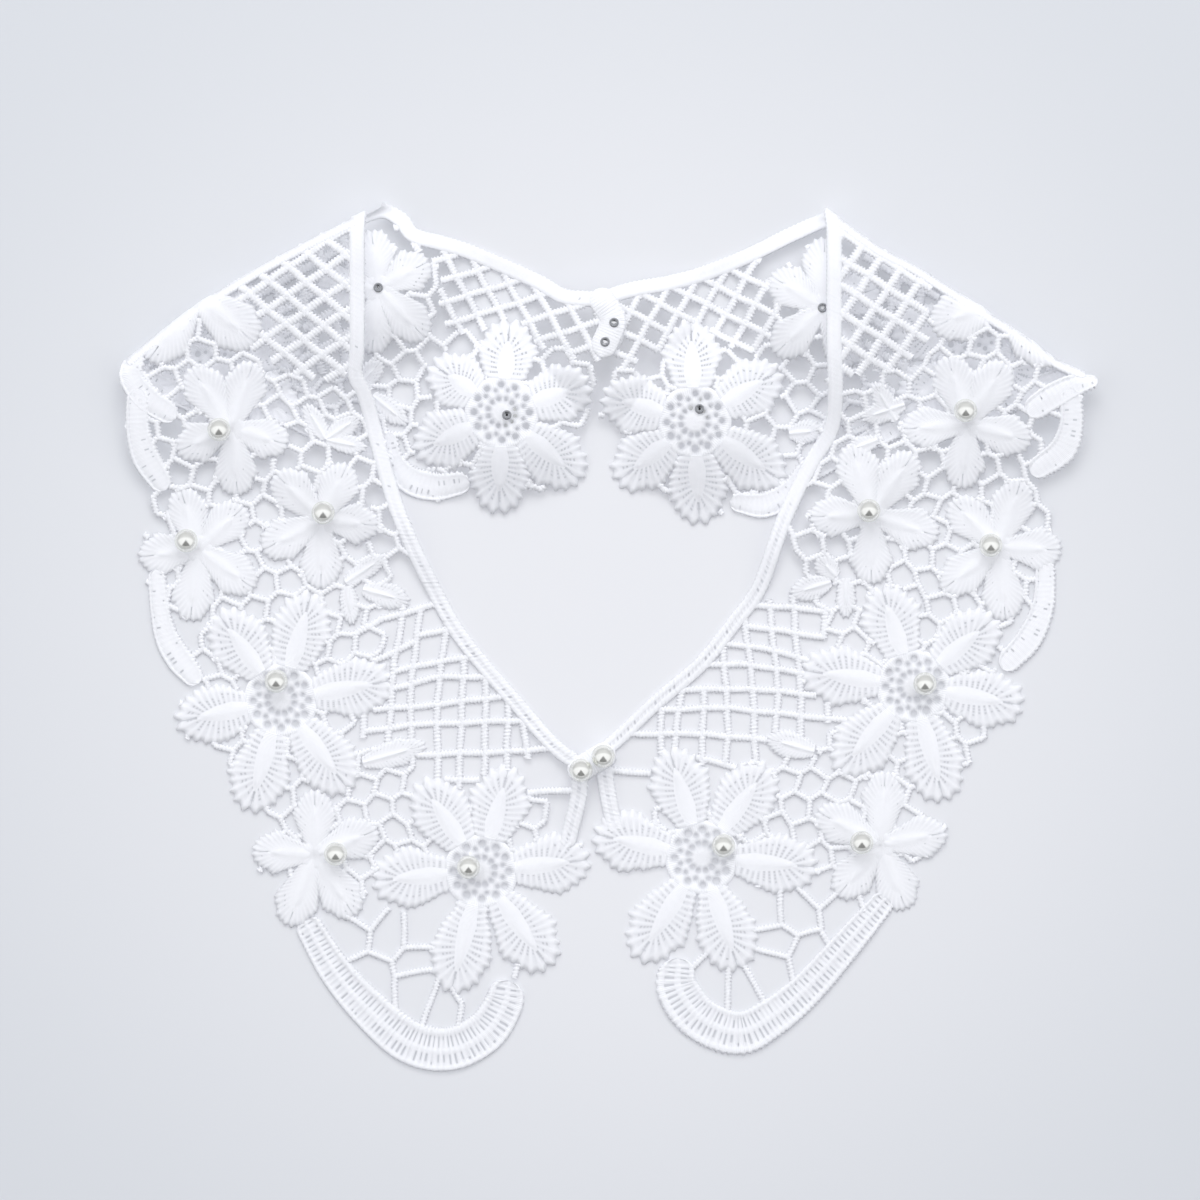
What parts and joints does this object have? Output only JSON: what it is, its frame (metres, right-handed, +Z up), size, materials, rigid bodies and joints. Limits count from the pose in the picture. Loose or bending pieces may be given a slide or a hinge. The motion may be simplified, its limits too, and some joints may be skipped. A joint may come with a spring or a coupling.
{
  "type": "lace collar",
  "caption": "White stitched lace collar of mirrored strips folded at the shoulders, with riveted pearls on its flowers and at its front and back joins.",
  "frame": {"origin": "centre of the bounding box at the surface the collar lies on", "axes": "+Z up from that surface, +Y towards the wearer's back and the shoulder folds, +X towards the strip on the right as seen from above"},
  "size_m": [0.3252, 0.2888, 0.0147],
  "materials": {
    "lace": "matt stitched cotton",
    "pearl": "pearl lustre",
    "silver": "polished"
  },
  "bodies": {
    "root": {"lace_front_left": "lace", "lace_front_right": "lace", "lace_back_left": "lace", "lace_back_right": "lace", "pearl_front_left_1": "pearl", "pearl_front_left_2": "pearl", "pearl_front_left_3": "pearl", "pearl_front_left_4": "pearl", "pearl_front_left_5": "pearl", "pearl_front_left_6": "pearl", "pearl_front_right_1": "pearl", "pearl_front_right_2": "pearl", "pearl_front_right_3": "pearl", "pearl_front_right_4": "pearl", "pearl_front_right_5": "pearl", "pearl_front_right_6": "pearl", "pearl_front_middle_1": "pearl", "pearl_front_middle_2": "pearl", "pearl_back_left_1": "pearl", "pearl_back_left_2": "pearl", "pearl_back_right_1": "pearl", "pearl_back_right_2": "pearl", "pearl_back_middle_1": "pearl", "pearl_back_middle_2": "pearl", "rivet_back_left_1": "silver", "rivet_back_left_2": "silver", "rivet_back_right_1": "silver", "rivet_back_right_2": "silver", "rivet_back_middle_1": "silver", "rivet_back_middle_2": "silver"}
  },
  "joints": []
}
